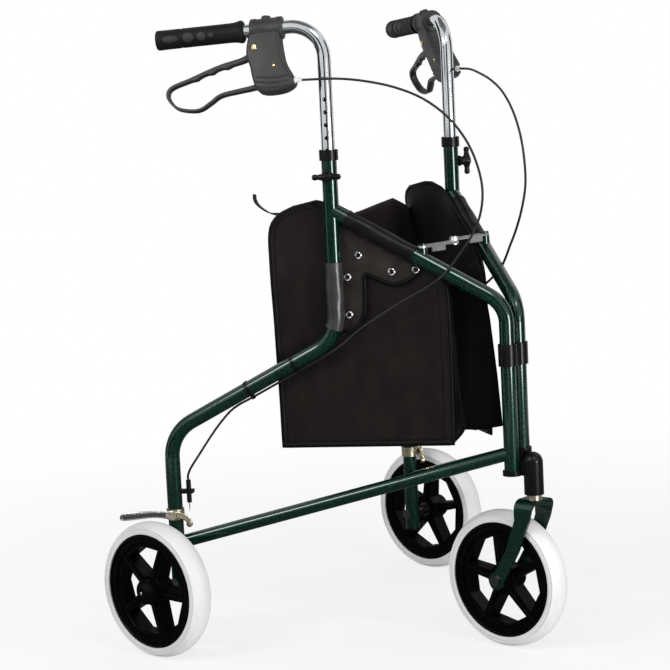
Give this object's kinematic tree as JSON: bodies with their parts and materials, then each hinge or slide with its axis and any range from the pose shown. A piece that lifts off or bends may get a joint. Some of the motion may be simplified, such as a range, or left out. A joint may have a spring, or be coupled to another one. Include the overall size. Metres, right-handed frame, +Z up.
{
  "type": "three wheel rollator",
  "caption": "Folding three-wheel walking frame with hinged tubular sides, swivelling front wheel, height-adjustable handles, loop brakes and a hung bag.",
  "frame": {"origin": "on the floor, midway between the front and rear axles, on the plane of symmetry", "axes": "+Z up, -Y the walking direction, +X to the user's left"},
  "size_m": [0.694, 0.6, 0.9181],
  "materials": {
    "frame_green": "gloss hammered enamel",
    "chrome_tube": "bright chrome plate",
    "zinc_steel": "bright zinc plate",
    "black_plastic": "satin moulded",
    "brake_plastic": "fine grained moulded",
    "grip_rubber": "matt ribbed",
    "tyre_white": "solid pale tyre",
    "rim_black": "moulded nylon",
    "cable_black": "sheathed cable",
    "bag_vinyl": "coated woven cloth"
  },
  "bodies": {
    "head": {"head_casting": "black_plastic", "head_cap": "black_plastic", "hinge_clamp": "black_plastic", "caster_bushes": "zinc_steel", "bag_gussets": "bag_vinyl"},
    "fork": {"fork": "frame_green", "caster_stem": "zinc_steel", "crown_race": "zinc_steel", "front_axle": "zinc_steel"},
    "front_wheel": {"front_tyre": "tyre_white", "front_rim": "rim_black", "front_bearings": "zinc_steel"},
    "right_frame": {"right_main_tube": "frame_green", "right_front_tube": "frame_green", "right_stay": "frame_green", "right_collar": "black_plastic", "right_leg_plug": "black_plastic", "right_axle": "zinc_steel", "right_brake_band": "zinc_steel", "right_cable_stop": "zinc_steel", "right_cable": "cable_black", "right_cable_ties": "black_plastic", "right_bag_panel": "bag_vinyl", "right_studs": "zinc_steel"},
    "right_wheel": {"right_tyre": "tyre_white", "right_rim": "rim_black", "right_bearings": "zinc_steel", "right_hub_cap": "rim_black"},
    "right_handle": {"right_handle_tube": "chrome_tube", "right_grip": "grip_rubber", "right_brake_housing": "brake_plastic", "right_lever_pin": "zinc_steel"},
    "right_lever": {"right_brake_lever": "brake_plastic"},
    "right_shoe": {"right_brake_shoe": "zinc_steel"},
    "right_knob": {"right_wing_knob": "black_plastic"},
    "right_brace": {"right_brace_link": "zinc_steel"},
    "left_frame": {"left_main_tube": "frame_green", "left_front_tube": "frame_green", "left_stay": "frame_green", "left_collar": "black_plastic", "left_leg_plug": "black_plastic", "left_axle": "zinc_steel", "left_brake_band": "zinc_steel", "left_cable_stop": "zinc_steel", "left_cable": "cable_black", "left_cable_ties": "black_plastic", "left_bag_panel": "bag_vinyl", "left_studs": "zinc_steel"},
    "left_wheel": {"left_tyre": "tyre_white", "left_rim": "rim_black", "left_bearings": "zinc_steel", "left_hub_cap": "rim_black"},
    "left_handle": {"left_handle_tube": "chrome_tube", "left_grip": "grip_rubber", "left_brake_housing": "brake_plastic", "left_lever_pin": "zinc_steel"},
    "left_lever": {"left_brake_lever": "brake_plastic"},
    "left_shoe": {"left_brake_shoe": "zinc_steel"},
    "left_knob": {"left_wing_knob": "black_plastic"},
    "left_brace": {"left_brace_link": "zinc_steel"}
  },
  "joints": [
    {"name": "caster_swivel", "type": "hinge", "parent": "head", "child": "fork", "pos_m": [0, -0.25401, 0.25], "axis": [0, 0, 1], "continuous": true},
    {"name": "front_wheel_spin", "type": "hinge", "parent": "fork", "child": "front_wheel", "pos_m": [0, -0.20001, 0.1], "axis": [1, 0, 0], "continuous": true},
    {"name": "right_fold", "type": "hinge", "parent": "head", "child": "right_frame", "pos_m": [-0.0125, -0.22601, 0.35], "axis": [0, 0, -1], "range_deg": [0, 25], "deforming": ["bag_gussets"]},
    {"name": "right_wheel_spin", "type": "hinge", "parent": "right_frame", "child": "right_wheel", "pos_m": [-0.31497, 0.20001, 0.1], "axis": [1, 0, 0], "continuous": true},
    {"name": "right_height", "type": "slide", "parent": "right_frame", "child": "right_handle", "axis": [0, 0, 1], "range_m": [-0.1, 0.025], "deforming": ["right_cable"]},
    {"name": "right_squeeze", "type": "hinge", "parent": "right_handle", "child": "right_lever", "pos_m": [-0.19525, 0.06221, 0.87071], "axis": [0.828, 0.4787, -0.2919], "range_deg": [0, 18], "stiffness_Nm_per_rad": 1.5},
    {"name": "right_shoe_press", "type": "hinge", "parent": "right_frame", "child": "right_shoe", "pos_m": [-0.26847, 0.20001, 0.2035], "axis": [-0.8572, -0.515, 0], "range_deg": [0, 3]},
    {"name": "right_knob_turn", "type": "hinge", "parent": "right_frame", "child": "right_knob", "pos_m": [-0.13765, -0.01771, 0.689], "axis": [-0.8572, -0.515, 0], "continuous": true},
    {"name": "right_brace_turn", "type": "hinge", "parent": "right_frame", "child": "right_brace", "pos_m": [-0.07173, -0.12743, 0.582], "axis": [0, 0, -1], "range_deg": [0, 45]},
    {"name": "left_fold", "type": "hinge", "parent": "head", "child": "left_frame", "pos_m": [0.0125, -0.22601, 0.35], "axis": [0, 0, 1], "range_deg": [0, 25]},
    {"name": "left_wheel_spin", "type": "hinge", "parent": "left_frame", "child": "left_wheel", "pos_m": [0.31497, 0.20001, 0.1], "axis": [1, 0, 0], "continuous": true},
    {"name": "left_height", "type": "slide", "parent": "left_frame", "child": "left_handle", "axis": [0, 0, 1], "range_m": [-0.1, 0.025], "deforming": ["left_cable"]},
    {"name": "left_squeeze", "type": "hinge", "parent": "left_handle", "child": "left_lever", "pos_m": [0.19525, 0.06221, 0.87071], "axis": [0.828, -0.4787, 0.2919], "range_deg": [0, 18], "stiffness_Nm_per_rad": 1.5},
    {"name": "left_shoe_press", "type": "hinge", "parent": "left_frame", "child": "left_shoe", "pos_m": [0.26847, 0.20001, 0.2035], "axis": [-0.8572, 0.515, 0], "range_deg": [0, 3]},
    {"name": "left_knob_turn", "type": "hinge", "parent": "left_frame", "child": "left_knob", "pos_m": [0.13765, -0.01771, 0.689], "axis": [0.8572, -0.515, 0], "continuous": true},
    {"name": "left_brace_turn", "type": "hinge", "parent": "left_frame", "child": "left_brace", "pos_m": [0.07173, -0.12743, 0.582], "axis": [0, 0, 1], "range_deg": [0, 45]}
  ],
  "couplings": [
    {"joint": "left_fold", "follows": "right_fold", "ratio": 1},
    {"joint": "right_shoe_press", "follows": "right_squeeze", "ratio": 0.166},
    {"joint": "right_brace_turn", "follows": "right_fold", "ratio": 1.8},
    {"joint": "left_shoe_press", "follows": "left_squeeze", "ratio": 0.166},
    {"joint": "left_brace_turn", "follows": "right_fold", "ratio": 1.8}
  ]
}
